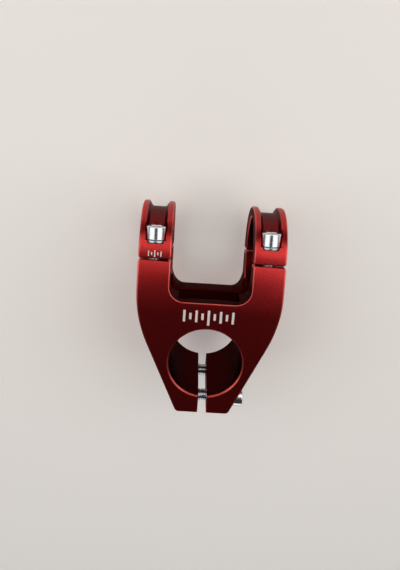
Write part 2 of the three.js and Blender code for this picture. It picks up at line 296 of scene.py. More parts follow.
def along_split(points, heights):
    """Rings of an (x, back) outline of the clamp's frame at heights up the split."""
    return [clamp_point(points[:, 0], points[:, 1], up) for up in heights]


def round_tool(name, start, direction, stations, count=64):
    """A turned tool: circles of the stations' radii at their distances along a direction."""
    direction = np.asarray(direction, float) / np.linalg.norm(direction)
    side = np.cross(direction, [0.0, 0.0, 1.0] if abs(direction[2]) < 0.9 else [1.0, 0.0, 0.0])
    side /= np.linalg.norm(side)
    other = np.cross(direction, side)
    flat = circle(count)
    rings = [start + direction * along + radius * (flat[:, :1] * side + flat[:, 1:] * other)
             for along, radius in stations]
    return loft(name, rings)


inward = clamp_point(0, 1, 0) - clamp_point(0, 0, 0)
print("square to the split:", np.round(inward, 3), "up the split:", np.round(up_split, 3))

# %% [markdown]
# ## The body
#
# The real body is milled from one billet of aluminium: a block sawn to the outline seen from above,
# milled to the outline seen from the side, with a wide opening for the handlebar between two arms.
# It could be boxed up by hand and subdivided, but its faces are true flats and true arcs, and those
# are easiest to keep true by drawing the same outlines and letting them cut each other. The sharp
# edges are then broken all round, as the mill's last pass does, before the bores are cut.


# %% Outlines of the body
def plan_outline():
    """Seen from above: straight arms, a large blend, straight tapers, a short rear face."""
    corners = [(HALF_WIDTH, -FAR), (HALF_WIDTH, FLANK_CORNER), (REAR_HALF, REAR),
               (-REAR_HALF, REAR), (-HALF_WIDTH, FLANK_CORNER), (-HALF_WIDTH, -FAR)]
    radii = [0, FLANK_BLEND, REAR_CORNER, REAR_CORNER, FLANK_BLEND, 0]
    return outline(corners, radii, step=1.5)


def side_outline():
    """Seen from the side as (y, z): flat clamp faces, an arc that leaves the upper flat and ends
    on the ear, an underside that follows the lean and steps up to the spacer's seat."""
    ear_top = clamp_point(0, SPLIT, EAR_HEIGHT)[1:]
    ear_bottom = clamp_point(0, SPLIT, -EAR_HEIGHT)[1:]
    run = -TOP_FLAT - ear_top[0]
    fall = TOP - ear_top[1]
    radius = (run**2 + fall**2) / (2 * fall)
    past_ear = math.radians(6)
    end = math.asin(run / radius) + past_ear
    angle = np.linspace(0, end, 24)
    arc = np.column_stack([-TOP_FLAT - radius * np.sin(angle), TOP - radius * (1 - np.cos(angle))])
    lean = math.tan(TILT)
    low_front = [arc[-1, 0], ear_bottom[1] + (arc[-1, 0] - ear_bottom[0]) * lean]
    step_y = -SEAT_RING - STEP_RUN
    step = [step_y, ear_bottom[1] + (step_y - ear_bottom[0]) * lean]
    under = outline([low_front, step, (-SEAT_RING, 0)], [0, STEP_RADIUS, 0])
    return np.concatenate([[(REAR + 1, 0), (REAR + 1, TOP)], arc, under])


def opening_wall():
    """How far the opening's wall stands behind the handlebar's axis, square to the lean."""
    return (-OPENING_EDGE - bar_axis[1]) * math.cos(TILT) + (TOP - bar_axis[2]) * math.sin(TILT)


def opening_outline():
    """The opening between the arms in the clamp's frame as (x, back), with rounded corners."""
    corners = [(HALF_OPENING, -FAR), (HALF_OPENING, OPENING_WALL),
               (-HALF_OPENING, OPENING_WALL), (-HALF_OPENING, -FAR)]
    return outline(corners, [0, OPENING_CORNER, OPENING_CORNER, 0], step=9)


def split_tool(x):
    """What is sawn off ahead of the arm at x: all up to the split, and a little round each of the
    two upright corners."""
    out = ARM_HALF + HAIR
    wide = ARM_HALF + 1.0
    past = SPLIT + 2 * SPLIT_CORNER
    corners = [(x - wide, -FAR), (x + wide, -FAR), (x + wide, past), (x + out, past),
               (x + out, SPLIT), (x - out, SPLIT), (x - out, past), (x - wide, past)]
    radii = [0, 0, 0, 0, SPLIT_CORNER, SPLIT_CORNER, 0, 0]
    return loft("sawn off", along_split(outline(corners, radii, step=9), [-FAR, FAR]))


OPENING_WALL = opening_wall()
print(f"opening's wall {OPENING_WALL:.2f} behind the handlebar's axis")


# %% Cut the outlines against each other and break the edges
def break_edges(piece, width, segments, where=None):
    """A small rounding on every edge sharper than 30 degrees, or only on those whose two ends pass
    a test of their places in millimetres. The new faces take number 1, so that the edges can take
    a paler colour of their own, a painted highlight."""
    for _ in range(2 - len(piece.data.materials)):
        piece.data.materials.append(None)
    bevel = piece.modifiers.new("broken edges", "BEVEL")
    bevel.limit_method = "ANGLE"
    if where is not None:
        mesh = piece.data
        passes = where(read(mesh.vertices, "co", 3) / MM)[read(mesh.edges, "vertices", 2, int)].all(1)
        weight = mesh.attributes.new("bevel_weight_edge", "FLOAT", "EDGE")
        weight.data.foreach_set("value", passes.astype(np.float32))
        bevel.limit_method = "WEIGHT"
    bevel.angle_limit = math.radians(30)
    bevel.width = width * MM
    bevel.segments = segments
    bevel.use_clamp_overlap = False
    bevel.miter_outer = "MITER_SHARP"
    bevel.material = 1
    finish_mesh(piece)


body = loft("milled_body", upright(plan_outline(), [-FAR, FAR]))
carve(body, loft("side", crosswise(side_outline(), [-FAR, FAR])), "INTERSECT")
carve(body, loft("opening", along_split(opening_outline(), [-FAR, FAR])))
print("body's block:", len(body.data.polygons), "faces")
break_edges(body, EDGE, 2)
print("edges broken:", len(body.data.polygons), "faces")
for x in (ARM_MIDDLE, -ARM_MIDDLE):
    carve(body, split_tool(x))
break_edges(body, SPLIT_EDGE, 1, lambda places: np.abs((places - bar_axis) @ inward - SPLIT) < 0.01)
print("arms sawn at the split:", len(body.data.polygons), "faces")

# %% [markdown]
# ## Bores, slot and pockets of the body
#
# The bores are reamed and their mouths chamfered. A chamfered bore is one turned tool: a cylinder
# that flares by the chamfer's width at each face it passes through.


# %% Bore, slot and screw holes of the steerer clamp
def bore_tool(name, start, direction, faces, radius):
    """A bore through everything between the first and the last face, flared at each. A face is
    its place along the bore and the side, +1 or -1, on which the air is."""
    stations = []
    for place, side in faces:
        flare = [(place - side * BORE_CHAMFER, radius),
                 (place + side * BORE_CHAMFER, radius + 2 * BORE_CHAMFER),
                 (place + side * 2 * BORE_CHAMFER, radius)]
        stations += flare if side > 0 else flare[::-1]
    return round_tool(name, start, direction, stations, 144)


carve(body, bore_tool("steerer bore", np.zeros(3), (0, 0, 1), [(0, -1), (TOP, 1)], STEERER))
flare = 2 * SLOT_CHAMFER
mouth = np.array([(SLOT + flare, -SLOT_CHAMFER), (SLOT, SLOT_CHAMFER), (SLOT, TOP - SLOT_CHAMFER),
                  (SLOT + flare, TOP + SLOT_CHAMFER)])
mouth = np.concatenate([mouth, mouth[::-1] * [-1, 1]])
carve(body, loft("slot", [np.column_stack([mouth[:, 0], np.full(len(mouth), y), mouth[:, 1]])
                          for y in (STEERER / 2, REAR + 1)]))
rear_mouth = np.array([(SLOT, STEERER / 2), (SLOT, REAR - SLOT_CHAMFER),
                       (SLOT + flare, REAR + SLOT_CHAMFER)])
rear_mouth = np.concatenate([rear_mouth, rear_mouth[::-1] * [-1, 1]])
carve(body, loft("slot's rear", upright(rear_mouth, [-1, TOP + 1])))

for place in (upper_pinch, lower_pinch):
    middle = place * [0, 1, 1]
    hole = [(-FAR, SCREW_HOLE), (FAR, SCREW_HOLE)]
    pocket = [(-FAR, HEAD_POCKET), (-PINCH_SEAT, HEAD_POCKET)]
    carve(body, round_tool("pinch hole", middle, (1, 0, 0), hole, 48))
    carve(body, round_tool("head pocket", middle, (1, 0, 0), pocket))
print("steerer clamp cut:", len(body.data.polygons), "faces")


# %% Pocket, handlebar bore and screw holes of the arms
def pocket_tool():
    """The lightening pocket in the opening's wall: an (x, up) outline with a sagging roof, flared
    at its mouth, carried back from the wall, less a guard cylinder left round the steerer bore."""
    top = (TOP - bar_axis[2]) * math.cos(TILT) + (OPENING_EDGE + bar_axis[1]) * math.sin(TILT)
    roof = top - POCKET_ROOF
    sill = top - POCKET_SILL
    shape = outline([(-POCKET_HALF, sill), (POCKET_HALF, sill), (POCKET_HALF, roof),
                     (-POCKET_HALF, roof)], [POCKET_CORNER] * 4, step=9)
    inside = POCKET_HALF - POCKET_CORNER
    across = np.linspace(inside, -inside, 18)[1:-1]
    sagging = np.column_stack([across, roof - POCKET_SAG * (1 - (across / inside) ** 2)])
    start = int(np.flatnonzero(np.isclose(shape[:, 1], roof) & (shape[:, 0] > 0))[0]) + 1
    shape = np.concatenate([shape[:start], sagging, shape[start:]])
    stations = [(-POCKET_CHAMFER, 2 * POCKET_CHAMFER), (POCKET_CHAMFER, 0), (POCKET_DEPTH, 0)]
    rings = [clamp_point(grow(shape, g)[:, 0], OPENING_WALL + back, grow(shape, g)[:, 1])
             for back, g in stations]
    tool = loft("pocket", rings)
    guard = [(-FAR, STEERER + BORE_WALL), (FAR, STEERER + BORE_WALL)]
    carve(tool, round_tool("guard", np.zeros(3), (0, 0, 1), guard, 144))
    return tool


carve(body, pocket_tool())
print("pocket cut:", len(body.data.polygons), "faces")
arm_faces = [(-HALF_WIDTH, -1), (-HALF_OPENING, 1), (HALF_OPENING, -1), (HALF_WIDTH, 1)]
carve(body, bore_tool("handlebar bore", bar_axis, (1, 0, 0), arm_faces, BAR))
print("bar bore cut:", len(body.data.polygons), "faces")
hole_depth = CLAMP_SCREW - EAR_SEAT - WASHER_THICK - 2 * TOUCH + PAST_TIP
hole = [(-LEAD, SCREW_HOLE), (hole_depth, SCREW_HOLE)]
for x in (ARM_MIDDLE, -ARM_MIDDLE):
    for up in (BOLT_CIRCLE, -BOLT_CIRCLE):
        carve(body, round_tool("clamp hole", clamp_point(x, 0, up), inward, hole, 48))
print("arms cut:", len(body.data.polygons), "faces")


# %% Even shading
def shade(piece, sharp=32.0):
    """Smooth faces with the sharp edges kept, and normals that lean to the larger faces, so that
    flats stay flat and only the small roundings bend the light."""
    piece.data.shade_smooth()
    piece.data.set_sharp_from_angle(angle=math.radians(sharp))
    lean = piece.modifiers.new("weighted normals", "WEIGHTED_NORMAL")
    lean.keep_sharp = True
    lean.weight = 100
    finish_mesh(piece)


def stand_for(piece, moving_body, node):
    """Rides on a moving body in place of a solid, and prints a check."""
    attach(piece, moving_body)
    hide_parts(node)
    mesh = piece.data
    mesh.calc_loop_triangles()
    uses = np.bincount(read(mesh.loops, "edge_index", 1, int), minlength=len(mesh.edges))
    points = read(mesh.vertices, "co", 3)
    low, high = (np.array(corner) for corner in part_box(node))
    proud = max((low - points.min(0)).max(), (points.max(0) - high).max()) / MM
    print(f"{piece.name}: {len(mesh.loop_triangles)} triangles, {int((uses != 2).sum())} open edges, "
          f"{proud:.2f} mm proud of its solid")


shade(body)
stand_for(body, "stem", "stem_body")

# %% [markdown]
# ## The two handlebar caps
#
# Each cap is milled from a slice of the same aluminium: a flattened half ring, hollowed along its
# outside into a channel between two ribs, with a flat ear at each end for a screw. The outline is
# an ellipse squared up a little. The channel is a section with a rounded floor, carried round that
# outline, and cut away. It could be modelled with loops and subdivision, but cut corners stay crisp.


# %% One cap
def cap_curve(inset, angle):
    """The cap's outside as (back, up): a superellipse, whose coordinates are its half axes, less
    an inset, times cosine and sine to the power 2 / squareness."""
    power = 2 / CAP_SQUARENESS
    back = -(CAP_FRONT - inset) * np.abs(np.cos(angle)) ** power
    up = (EAR_HEIGHT - inset) * np.sign(np.sin(angle)) * np.abs(np.sin(angle)) ** power
    return back, up


def channel_tool(x):
    """The channel: a section across x, with rounded lips and sides that slope to a rounded floor,
    at insets from the outside, carried round the outline and stopped at the ears."""
    above = 3.0
    floor_radius = 1.0
    skim = -2 * HAIR
    lip = CHANNEL_TOP + 2 * CHANNEL_LIP
    section = outline([(-lip, -above), (lip, -above), (lip, skim), (CHANNEL_TOP, skim),
                       (CHANNEL_FLOOR, CHANNEL_DEPTH), (-CHANNEL_FLOOR, CHANNEL_DEPTH),
                       (-CHANNEL_TOP, skim), (-lip, skim)],
                      [0, 0, 0, CHANNEL_LIP, floor_radius, floor_radius, CHANNEL_LIP, 0], step=12)
    angle = np.radians(np.linspace(88, -88, 90))
    back, up = cap_curve(section[None, :, 1], angle[:, None])
    tool = loft("channel", clamp_point(x + section[None, :, 0], back, up))
    stop = EAR_SEAT + WASHER_THICK + TOUCH
    room = outline([(-FAR, -FAR), (FAR, -FAR), (FAR, -stop), (-FAR, -stop)], [0] * 4)
    carve(tool, loft("room", along_split(room, [-FAR, FAR])), "INTERSECT")
    return tool


def cap(name, x):
    """A cap about the plane at x: its outline carried across, corners rounded at the split and
    edges broken, then channel, bore, screw holes and head pockets cut."""
    angle = np.radians(np.linspace(90, -90, 121))
    back, up = cap_curve(0, angle)
    keep = back < -SPLIT - 0.05
    back = np.concatenate([[-SPLIT], back[keep], [-SPLIT]])
    up = np.concatenate([[EAR_HEIGHT], up[keep], [-EAR_HEIGHT]])
    piece = loft(name, [clamp_point(x + side, back, up) for side in (-ARM_HALF, ARM_HALF)])
    out = ARM_HALF + HAIR
    ends = outline([(x + out, -SPLIT), (x - out, -SPLIT), (x - out, -FAR), (x + out, -FAR)],
                   [SPLIT_CORNER, SPLIT_CORNER, 0, 0], step=9)
    carve(piece, loft("ends", along_split(ends, [-FAR, FAR])), "INTERSECT")
    break_edges(piece, CAP_EDGE, 2)
    carve(piece, channel_tool(x))
    faces = [(-ARM_HALF, -1), (ARM_HALF, 1)]
    carve(piece, bore_tool("cap bore", bar_axis + [x, 0, 0], (1, 0, 0), faces, BAR))
    hole = [(-LEAD, SCREW_HOLE), (EAR_SEAT, SCREW_HOLE), (EAR_SEAT, HEAD_POCKET), (FAR, HEAD_POCKET)]
    for up in (BOLT_CIRCLE, -BOLT_CIRCLE):
        carve(piece, round_tool("screw seat", clamp_point(x, 0, up), -inward, hole))
    shade(piece)
    return piece


caps = {side: cap(f"{side}_cap", x) for side, x in (("left", ARM_MIDDLE), ("right", -ARM_MIDDLE))}
for side, piece in caps.items():
    stand_for(piece, f"{side}_cap", f"{side}_handlebar_cap")

# %% [markdown]
# ## Screws and washers
#
# A socket head screw is cold headed, its socket punched in, its thread rolled, and then polished.
# It is nearly a turned shape, so it is made as rings along its axis. Only two things are not round:
# the socket, whose rings blend from a circle into a hexagon, and the thread, whose rings are cut
# deeper where a wave that climbs one pitch per turn is low.


# %% Screw and washer surfaces
def hexagon(angle):
    """Radius of a hexagon of half width 1: one over the cosine of the angle from a side's middle."""
    sixth = math.pi / 3
    return 1 / np.cos((angle + sixth / 2) % sixth - sixth / 2)


def screw_rings(length, around=72):
    """(along, radius) of every ring point. `along` runs from the head's bearing face to the tip,
    negative in the head. A ring's radius is a circle's, a hexagon's in the socket, or the
    thread's: the shank's less the depth times a wave of (along / pitch - angle / full turn)."""
    angle = np.linspace(0, 2 * np.pi, around, endpoint=False)
    floor = HEX_DEPTH - HEAD_HEIGHT
    # Each station is (along, radius, 1 where the ring is a hexagon).
    socket = [(floor + 0.6, 0.15, 0), (floor + 0.12, HEX * 0.85, 0), (floor, HEX, 1),
              (0.3 - HEAD_HEIGHT, HEX, 1), (-HEAD_HEIGHT, HEX / math.cos(math.pi / 6) + 0.12, 0)]
    turn = np.radians(np.linspace(0, 90, 6))
    crown = 0.55
    rim = [(crown * (1 - math.sin(t)) - HEAD_HEIGHT, HEAD - crown * (1 - math.cos(t)), 0)
           for t in turn[::-1]]
    neck = [(-0.2, HEAD, 0), (0, HEAD - 0.2, 0), (0, SHANK + 0.35, 0), (0.12, SHANK + 0.1, 0),
            (0.4, SHANK, 0)]
    stations = np.array(socket + rim + neck)
    shape = np.where(stations[:, 2:] > 0, hexagon(angle)[None], 1.0)
    head_radius = stations[:, 1:2] * shape
    along = np.arange(0.6, length - 0.02, PITCH / 10)[:, None]
    wave = np.abs(2 * ((along / PITCH - angle[None] / (2 * np.pi)) % 1) - 1)
    depth = 0.55 * PITCH * np.clip((along - 0.8) / PITCH, 0, 1)
    radius = SHANK - depth * np.clip((wave - 0.12) / 0.76, 0, 1)
    tip = SHANK - np.clip(along - (length - PITCH), 0, None)
    radius = np.minimum(radius, tip)
    along = np.concatenate([stations[:, 0], along[:, 0], [length]])
    radius = np.concatenate([head_radius, radius, np.full((1, around), SHANK - PITCH)])
    return along, radius, angle


def turned(name, start, direction, along, radius, angle, closed=False):
    """Rings about an axis: a point lies at start + along * direction + radius * (cos, sin)."""
    direction = np.asarray(direction, float)
    side = np.cross(direction, [0.0, 0.0, 1.0])
    side /= np.linalg.norm(side)
    other = np.cross(direction, side)
    circle_points = np.cos(angle)[:, None] * side + np.sin(angle)[:, None] * other
    along = np.broadcast_to(along if along.ndim > 1 else along[:, None], radius.shape)
    points = start + along[..., None] * direction + radius[..., None] * circle_points
    piece = loft(name, points, closed)
    marks = piece.data.attributes.new("turned", "FLOAT_VECTOR", "POINT")
    turned_at = np.stack(np.broadcast_arrays(along, radius, 0 * radius), -1)
    marks.data.foreach_set("vector", turned_at.astype(np.float32).ravel())
    return piece


def screw(name, start, direction, length):
    """A screw whose head bears at start and whose shank points along a direction."""
    return turned(name, start, direction, *screw_rings(length))


def washer(name, start, direction, around=72):
    """A punched washer: a rectangle with rolled corners, turned about the axis. Its rings run
    round the section, so that the path is closed."""
    roll = 0.18
    section = outline([(0, WASHER_BORE), (WASHER_THICK, WASHER_BORE), (WASHER_THICK, WASHER),
                       (0, WASHER)], [roll] * 4, step=22.5)
    angle = np.linspace(0, 2 * np.pi, around, endpoint=False)
    radius = np.repeat(section[:, 1:], around, 1)
    return turned(name, start, direction, section[:, 0], radius, angle, closed=True)


# %% Place the fasteners
fasteners = []
for side, x in (("left", ARM_MIDDLE), ("right", -ARM_MIDDLE)):
    for level, up in (("upper", BOLT_CIRCLE), ("lower", -BOLT_CIRCLE)):
        seat = clamp_point(x, -EAR_SEAT - TOUCH - WASHER_THICK, up)
        ring = washer(f"{side}_{level}_washer", seat, inward)
        bolt = screw(f"{side}_{level}_screw", seat - TOUCH * inward, inward, CLAMP_SCREW)
        fasteners += [
            (ring, f"{side}_cap", f"{side}_{level}_clamp_washer", "plated_washers"),
            (bolt, f"{side}_{level}_screw", f"{side}_{level}_clamp_bolt", "polished_screws"),
        ]
for level, place in (("upper", upper_pinch), ("lower", lower_pinch)):
    seat = place * [0, 1, 1] - [PINCH_SEAT + TOUCH + WASHER_THICK, 0, 0]
    across = np.array([1.0, 0, 0])
    ring = washer(f"{level}_slot_washer", seat, across)
    bolt = screw(f"{level}_slot_screw", seat - TOUCH * across, across, PINCH_SCREW)
    fasteners += [
        (ring, f"{level}_pinch_seat", f"{level}_pinch_washer", "plated_washers"),
        (bolt, f"{level}_pinch_screw", f"{level}_pinch_bolt", "polished_screws"),
    ]
for piece, moving_body, node, slot in fasteners:
    shade(piece, 40)
    stand_for(piece, moving_body, node)


# %% [markdown]
# ## Finishes
#
# Colours are written as they look on a screen and turned to the linear values that a shader works
# in. One small function adds a node with its settings and links.


# %% Colour and node helpers
def linear(text):
    """An sRGB hex colour as linear red, green, blue, alpha."""
    value = np.array([int(text[i : i + 2], 16) for i in (1, 3, 5)]) / 255
    value = np.where(value <= 0.04045, value / 12.92, ((value + 0.055) / 1.055) ** 2.4)
    return (*value.tolist(), 1.0)


def add(tree, kind, inputs=None, **settings):
    """Adds a node of a kind with its settings. Inputs are values, or sockets to link from."""
    node = tree.nodes.new(kind)
    for name, value in settings.items():
        setattr(node, name, value)
    for key, value in (inputs or {}).items():
        if isinstance(value, bpy.types.NodeSocket):
            tree.links.new(value, node.inputs[key])
        else:
            node.inputs[key].default_value = value
    return node


def new_material(name):
    """An empty node material with its output and a Principled shader joined to it."""
    material = bpy.data.materials.new(name)
    material.use_nodes = True
    tree = material.node_tree
    tree.nodes.clear()
    shader = add(tree, "ShaderNodeBsdfPrincipled")
    add(tree, "ShaderNodeOutputMaterial", {"Surface": shader.outputs["BSDF"]})
    return material, tree, shader


def in_millimetres(tree):
    """Object coordinates in millimetres."""
    place = add(tree, "ShaderNodeTexCoord").outputs["Object"]
    larger = add(tree, "ShaderNodeVectorMath", {0: place, "Scale": 1 / MM}, operation="SCALE")
    return larger.outputs[0]


def maths(tree, operation, *values):
    """One step of arithmetic: its result as a socket."""
    return add(tree, "ShaderNodeMath", dict(enumerate(values)), operation=operation).outputs[0]


def blend(tree, share, first, second, kind="FLOAT"):
    """Share 0 gives the first value, share 1 the second."""
    names = {"FLOAT": (2, 3, 0), "RGBA": (6, 7, 2)}[kind]
    inputs = {0: share, names[0]: first, names[1]: second}
    return add(tree, "ShaderNodeMix", inputs, data_type=kind).outputs[names[2]]


def noise(tree, place, size, detail, roughness=0.5):
    """Soft random values from 0 to 1, in patches of about a size."""
    inputs = {"Vector": place, "Scale": 1 / size, "Detail": detail, "Roughness": roughness}
    return add(tree, "ShaderNodeTexNoise", inputs).outputs["Fac"]


def join(tree, node, **values):
    """Links values to a node's inputs, named with underscores for spaces."""
    for name, value in values.items():
        tree.links.new(value, node.inputs[name.replace("_", " ")])


# %% [markdown]
# ## Red anodised aluminium, bead blasted outside and reamed inside
#
# The milled body and caps are blasted with fine glass beads, which leaves shallow overlapping dents
# a few tenths of a millimetre wide and turns the mirror into a soft glow. Anodising then grows a
# clear hard skin that takes up red dye. So the metal's own reflection is red, and a weak white
# reflection from the skin lies over it. The marks are white, burnt into the skin by a laser.
#
# The bores and the walls between the arms were masked from the blasting. They keep the fine lines
# of the reamer and the end mill. Their deep red is painted shade, as is the darker red of the caps'
# channels. The broken edges and chamfers are painted paler, as a painted highlight.


# %% Marks
def tick_rows(tree, across, along, pitch, width, count, half_length, taller):
    """A row of upright ticks every `pitch` across: one where the place lies within half a tick's
    width of a multiple of the pitch, inside the row, and within a half length. Each second tick
    out from the middle is shorter, the middle one is taller."""
    number = maths(tree, "ROUND", maths(tree, "DIVIDE", across, pitch))
    nearest = maths(tree, "MULTIPLY", number, pitch)
    off = maths(tree, "ABSOLUTE", maths(tree, "SUBTRACT", across, nearest))
    size = maths(tree, "ABSOLUTE", number)
    inside = maths(tree, "MULTIPLY", maths(tree, "LESS_THAN", off, width / 2),
                   maths(tree, "LESS_THAN", size, count + 0.5))
    odd = maths(tree, "MODULO", size, 2)
    middle = maths(tree, "LESS_THAN", size, 0.5)
    length = maths(tree, "ADD", maths(tree, "MULTIPLY", middle, taller),
                   maths(tree, "MULTIPLY_ADD", odd, -0.45 * half_length, half_length))
    return maths(tree, "MULTIPLY", inside,
                 maths(tree, "LESS_THAN", maths(tree, "ABSOLUTE", along), length))


def unmarked(tree, x, y, z):
    """No mark."""
    return 0.0


def scale_on_top(tree, x, y, z):
    """A centring scale on the upper face, between the opening and the steerer bore."""
    middle = -(OPENING_EDGE + STEERER) / 2
    on_face = maths(tree, "GREATER_THAN", z, float(TOP) - 0.05)
    ticks = tick_rows(tree, x, maths(tree, "SUBTRACT", y, middle), pitch=2.3, width=0.9, count=4,
                      half_length=2.4, taller=1.1)
    return maths(tree, "MULTIPLY", on_face, ticks)


def scale_on_ear(tree, x, y, z):
    """A short scale on the left cap's upper ear, just outside the split."""
    ear = clamp_point(ARM_MIDDLE, -2.1, EAR_HEIGHT)
    on_ear = maths(tree, "GREATER_THAN", z, float(ear[2]) - 1.5)
    across = maths(tree, "SUBTRACT", x, float(ear[0]))
    back = maths(tree, "SUBTRACT", y, float(ear[1]))
    ticks = tick_rows(tree, across, back, pitch=1.15, width=0.42, count=2, half_length=0.95,
                      taller=0.3)
    return maths(tree, "MULTIPLY", on_ear, ticks)


# %% Blasted and milled metal
def blasted_finish(name, mark, light="#D22024", middle="#C0161A", dark="#8A0D11", coat=0.5):
    """Bead-blasted, red-dyed aluminium. `mark` makes a mask from the tree and millimetres."""
    material, tree, shader = new_material(name)
    place = in_millimetres(tree)
    x, y, z = add(tree, "ShaderNodeSeparateXYZ", {0: place}).outputs
    dent = 0.4  # width of a dent as drawn: the real beads leave about 0.15
    dents = add(tree, "ShaderNodeTexVoronoi", {"Vector": place, "Scale": 1 / dent},
                feature="SMOOTH_F1").outputs["Distance"]
    grain = noise(tree, place, 0.45, 3.0, 0.65)
    height = maths(tree, "MULTIPLY_ADD", grain, 0.9, maths(tree, "MULTIPLY", dents, 0.6))
    deep = blend(tree, noise(tree, place, 9, 2.0), linear(middle), linear(light), "RGBA")
    speckle = maths(tree, "MULTIPLY_ADD", grain, 1.9, -0.6)
    speckled = blend(tree, speckle, deep, linear(dark), "RGBA")
    white = mark(tree, x, y, z)
    ink = blend(tree, grain, linear("#E4E0DC"), linear("#F7F5F2"), "RGBA")
    rough = blend(tree, white, maths(tree, "MULTIPLY_ADD", grain, 0.18, 0.24), 0.62)
    relief = add(tree, "ShaderNodeBump", {"Height": height, "Strength": 0.9, "Distance": 0.04 * MM})
    join(tree, shader, Base_Color=blend(tree, white, speckled, ink, "RGBA"), Roughness=rough,
         Metallic=maths(tree, "SUBTRACT", 1.0, white), Normal=relief.outputs[0])
    shader.inputs["Specular Tint"].default_value = linear("#D86A6A")
    shader.inputs["Coat Weight"].default_value = coat
    shader.inputs["Coat Roughness"].default_value = 0.28
    shader.inputs["Coat IOR"].default_value = 1.6
    return material


def milled_painted_shade_finish(name, light, dark, coat):
    """Smooth faces, darker as painted shade, with fine lines: rings round the handlebar's axis at its
    bore, level lines elsewhere."""
    material, tree, shader = new_material(name)
    place = in_millimetres(tree)
    x, y, z = add(tree, "ShaderNodeSeparateXYZ", {0: place}).outputs
    dy = maths(tree, "SUBTRACT", y, float(bar_axis[1]))
    dz = maths(tree, "SUBTRACT", z, float(bar_axis[2]))
    off = maths(tree, "SQRT", maths(tree, "ADD", maths(tree, "MULTIPLY", dy, dy),
                                    maths(tree, "MULTIPLY", dz, dz)))
    from_bore = maths(tree, "ABSOLUTE", maths(tree, "SUBTRACT", off, BAR))
    travel = blend(tree, maths(tree, "LESS_THAN", from_bore, 0.05), z, x)
    haze = noise(tree, place, 1.5, 4.0)
    feed = 0.35  # lines as drawn: the real feed is nearer 0.1
    turns = maths(tree, "MULTIPLY_ADD", haze, 0.3, maths(tree, "DIVIDE", travel, feed))
    lines = maths(tree, "SINE", maths(tree, "MULTIPLY", turns, 2 * math.pi))
    relief = add(tree, "ShaderNodeBump", {"Height": lines, "Strength": 0.5, "Distance": 0.006 * MM})
    join(tree, shader, Base_Color=blend(tree, haze, linear(dark), linear(light), "RGBA"),
         Roughness=maths(tree, "MULTIPLY_ADD", haze, 0.12, 0.3), Normal=relief.outputs[0])
    shader.inputs["Metallic"].default_value = 1.0
    shader.inputs["Specular Tint"].default_value = linear("#8A2A2A")
    shader.inputs["Coat Weight"].default_value = coat
    shader.inputs["Coat Roughness"].default_value = 0.3
    shader.inputs["Coat IOR"].default_value = 1.6
    return material


# %% Which faces have which finish
def face_places(piece):
    """Middles in millimetres, normals and numbers of a piece's faces."""
    faces = piece.data.polygons
    return read(faces, "center", 3) / MM, read(faces, "normal", 3), read(faces, "material_index", 1, int)


def painted_shade_inside_faces(piece):
    """True for the faces masked from the blasting and painted darker as painted shade: both bores, the
    slot, the opening and its pocket.
    """
    middle, normal, _ = face_places(piece)
    x, y, z = middle.T
    stands = np.abs(normal[:, 2]) < 0.6
    in_bar = (np.hypot(*(middle - bar_axis)[:, 1:].T) < BAR + 0.02) & (np.abs(normal[:, 0]) < 0.5)
    in_steerer = (np.hypot(x, y) < STEERER + 0.05) & stands
    in_slot = (np.abs(x) < SLOT + 0.05) & (y > 0) & (np.abs(normal[:, 0]) > 0.9)
    ahead = (np.abs(x) < HALF_OPENING + 0.02) & (y < -STEERER - 0.5)
    in_opening = ahead & stands & (np.sign(x) * normal[:, 0] < 0.1) & (normal[:, 1] < 0.3)
    in_pocket = ahead & ((middle - bar_axis) @ inward > OPENING_WALL + 0.5) & (z < TOP - 2) & (z > 2)
    return in_bar | in_steerer | in_slot | in_opening | in_pocket


def channel_faces(piece, x):
    """True for a cap's faces inside its channel, less the lips: these take a darker painted shade."""
    middle = face_places(piece)[0] - bar_axis
    back, up = middle @ inward, middle @ up_split
    power = CAP_SQUARENESS
    squared = (np.abs(back) / CAP_FRONT) ** power + (np.abs(up) / EAR_HEIGHT) ** power
    depth = 1 - squared ** (1 / power)
    aside = np.abs(middle[:, 0] - x)
    return (aside < CHANNEL_TOP - 0.3) & (depth > 0.02) & (-back > EAR_SEAT + WASHER_THICK)


# The chamfers share the paler colour of the broken edges, a painted highlight.
def chamfer_faces(piece):
    """True for the cones at the bores' mouths: just outside a bore, and neither flat nor upright."""
    middle, normal, _ = face_places(piece)
    steerer = np.abs(np.hypot(*middle[:, :2].T) - STEERER - BORE_CHAMFER / 2)
    bar = np.abs(np.hypot(*(middle - bar_axis)[:, 1:].T) - BAR - BORE_CHAMFER / 2)
    slanted = (np.abs(normal) > 0.4) & (np.abs(normal) < 0.9)
    near = BORE_CHAMFER * 0.6
    return ((steerer < near) & slanted[:, 2]) | ((bar < near) & slanted[:, 0])


def number_faces(piece, x=None):
    """0 blasted, 1 broken edges and chamfers, a painted highlight; 2 inside, 3 a cap's channel, painted
    shade.
    """
    number = ((face_places(piece)[2] == 1) | chamfer_faces(piece)).astype(np.int32)
    if x is not None:
        number[channel_faces(piece, x)] = 3
    number[painted_shade_inside_faces(piece)] = 2
    return number


def paint(piece, materials, which=None):
    """Gives a piece its materials, and each face the number of its own."""
    piece.data.materials.clear()
    for material in materials:
        piece.data.materials.append(material)
    if which is not None:
        piece.data.polygons.foreach_set("material_index", which)


# %% Paint the body and the caps
# Aluminium, reamed or end milled, masked from the blasting and dyed, its deep red painted shade.
painted_shade_inside_finish = milled_painted_shade_finish("reamed_red_anodised_bores_painted_shade", "#5A0508", "#470305", 0.03)
# The same metal, milled with a round-cornered cutter, left unblasted and dyed, its red darkened as
# painted shade.
painted_shade_channel_finish = milled_painted_shade_finish("milled_red_anodised_channels_painted_shade", "#761115", "#620C10", 0.22)
# The same metal, bead blasted, then dyed, sealed and marked by a laser.
body_finish = blasted_finish("bead_blasted_red_anodised_body", scale_on_top)
cap_finish = blasted_finish("bead_blasted_red_anodised_caps", scale_on_ear)
